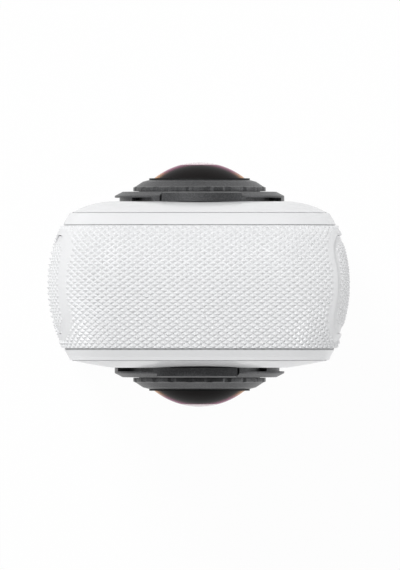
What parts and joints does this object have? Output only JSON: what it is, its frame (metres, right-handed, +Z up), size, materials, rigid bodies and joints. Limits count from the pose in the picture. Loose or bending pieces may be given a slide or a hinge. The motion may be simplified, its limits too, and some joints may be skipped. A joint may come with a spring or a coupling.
{
  "type": "360 degree camera",
  "caption": "Pocket-sized two-lens 360 degree camera with a textured band, twist-off lens guards, screen, side battery, port door and a tripod socket.",
  "frame": {"origin": "centre of the flat base that the camera stands on", "axes": "+Z up through the body, -Y out of the screen face, +Y out of the back face, +X to the side with the buttons and the port door"},
  "size_m": [0.046, 0.0372, 0.1138],
  "materials": {
    "white_textured": "satin white with a moulded diamond texture",
    "white_satin": "smooth satin white",
    "seal_rubber": "matt silicone",
    "screen_glass": "glossy black-backed glass",
    "display_black": "dark display",
    "lens_ring_grey": "blasted dark grey anodised",
    "lens_glass": "coated optical glass",
    "barrel_black": "matt black",
    "button_grey": "satin",
    "latch_orange": "satin orange",
    "frame_metal": "die-cast",
    "dark_plastic": "fine-grained",
    "steel": "plated",
    "gold_brass": "gold plated",
    "light_pipe": "milky",
    "board_green": "solder mask",
    "spreader_metal": "matt"
  },
  "bodies": {
    "root": {"body_band": "white_textured", "front_rim": "white_satin", "back_rim": "white_satin", "front_seal": "seal_rubber", "back_seal": "seal_rubber", "front_cover": "white_satin", "back_cover": "white_satin", "screen_glass": "screen_glass", "display_panel": "display_black", "left_side_panel": "white_textured", "right_side_panel": "white_textured", "side_button_board": "board_green", "button_board": "board_green", "tact_switches": "steel", "microphones": "steel", "status_lights": "light_pipe", "speaker": "dark_plastic", "main_frame": "frame_metal", "frame_screws": "steel", "base_plate": "dark_plastic", "tripod_insert": "steel", "base_magnets": "steel", "battery_sleeve": "dark_plastic", "battery_contacts": "gold_brass", "card_socket": "steel", "usb_port": "steel", "usb_tongue": "dark_plastic", "port_board": "board_green", "main_board": "board_green", "processor_shield": "steel", "thermal_pad": "seal_rubber", "heat_spreader": "spreader_metal", "screen_board": "board_green", "sensor_boards": "board_green", "front_mount_ring": "lens_ring_grey", "front_lens_barrel": "barrel_black", "front_inner_glass": "lens_glass", "back_mount_ring": "lens_ring_grey", "back_lens_barrel": "barrel_black", "back_inner_glass": "lens_glass"},
    "front_lens": {"front_lens_ring": "lens_ring_grey", "front_lens_glass": "lens_glass", "front_lens_seal": "seal_rubber"},
    "back_lens": {"back_lens_ring": "lens_ring_grey", "back_lens_glass": "lens_glass", "back_lens_seal": "seal_rubber"},
    "shutter": {"shutter_button": "button_grey"},
    "lens_switch": {"lens_switch_button": "button_grey"},
    "power": {"power_button": "white_satin"},
    "quick": {"quick_button": "white_satin"},
    "port_door": {"usb_door": "white_textured", "usb_door_pin": "steel", "usb_door_seal": "seal_rubber"},
    "battery": {"battery_pack": "dark_plastic", "battery_cover": "white_textured", "battery_seal": "seal_rubber"},
    "latch_upper": {"upper_latch": "latch_orange"},
    "latch_lower": {"lower_latch": "latch_orange"},
    "card": {"memory_card": "dark_plastic"}
  },
  "joints": [
    {"name": "front_lens_twist", "type": "hinge", "parent": "root", "child": "front_lens", "pos_m": [0, -0.0141, 0.0928], "axis": [0, -1, 0], "range_deg": [0, 30]},
    {"name": "back_lens_twist", "type": "hinge", "parent": "root", "child": "back_lens", "pos_m": [0, 0.0141, 0.0928], "axis": [0, 1, 0], "range_deg": [0, 30]},
    {"name": "shutter_press", "type": "slide", "parent": "root", "child": "shutter", "axis": [0, 1, 0], "range_m": [0, 0.00035], "stiffness_N_per_m": 2500, "springref_m": -0.0004},
    {"name": "lens_switch_press", "type": "slide", "parent": "root", "child": "lens_switch", "axis": [0, 1, 0], "range_m": [0, 0.00035], "stiffness_N_per_m": 2500, "springref_m": -0.0004},
    {"name": "power_press", "type": "slide", "parent": "root", "child": "power", "axis": [-1, 0, 0], "range_m": [0, 0.00035], "stiffness_N_per_m": 2500, "springref_m": -0.0004},
    {"name": "quick_press", "type": "slide", "parent": "root", "child": "quick", "axis": [-1, 0, 0], "range_m": [0, 0.00035], "stiffness_N_per_m": 2500, "springref_m": -0.0004},
    {"name": "port_door_hinge", "type": "hinge", "parent": "root", "child": "port_door", "pos_m": [0.02106, 0.0066, 0.0182], "axis": [0, 0, 1], "range_deg": [0, 90]},
    {"name": "battery_slide", "type": "slide", "parent": "root", "child": "battery", "axis": [-1, 0, 0], "range_m": [0, 0.038]},
    {"name": "upper_latch_slide", "type": "slide", "parent": "battery", "child": "latch_upper", "axis": [0, 0, -1], "range_m": [0, 0.002], "stiffness_N_per_m": 300, "springref_m": -0.001},
    {"name": "lower_latch_slide", "type": "slide", "parent": "battery", "child": "latch_lower", "axis": [0, 0, 1], "range_m": [0, 0.002], "stiffness_N_per_m": 300, "springref_m": -0.001},
    {"name": "card_eject", "type": "slide", "parent": "root", "child": "card", "axis": [0, 0, -1], "range_m": [0, 0.0015]}
  ]
}
